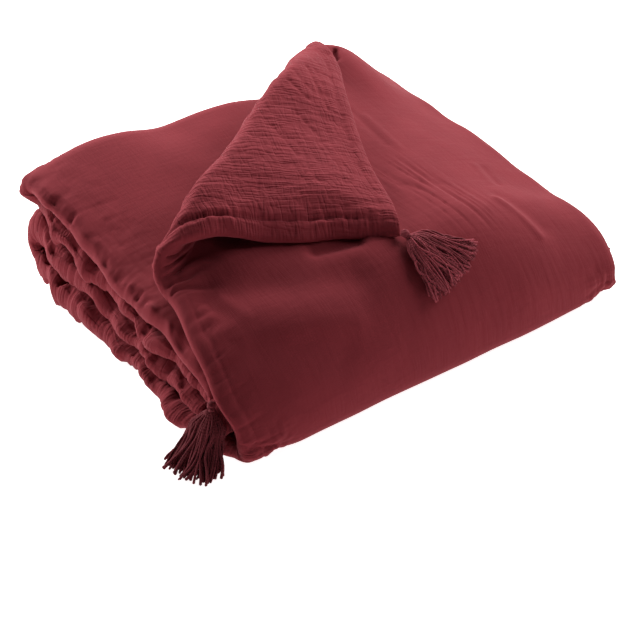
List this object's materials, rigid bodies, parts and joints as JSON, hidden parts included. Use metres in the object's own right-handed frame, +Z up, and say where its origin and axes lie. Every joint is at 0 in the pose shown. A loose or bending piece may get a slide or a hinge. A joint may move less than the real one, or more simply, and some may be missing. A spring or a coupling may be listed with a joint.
{
  "type": "tasselled bed runner",
  "caption": "Padded bed runner of crinkled double gauze, folded back and forth into a pile, with its upper corner turned back and a knotted tassel at each corner.",
  "frame": {"origin": "middle of the flat underside, on the surface that the pile lies on", "axes": "+X along the front fold towards the right, +Y from the front fold to the back, +Z up"},
  "size_m": [0.607, 0.4677, 0.1945],
  "materials": {
    "gauze": "matte crinkled cotton double gauze",
    "yarn": "matte twisted cotton yarn"
  },
  "bodies": {
    "root": {"runner": "gauze", "tassel_flap": "yarn", "tassel_inner_left": "yarn", "tassel_inner_right": "yarn", "tassel_outer_right": "yarn"}
  },
  "joints": []
}
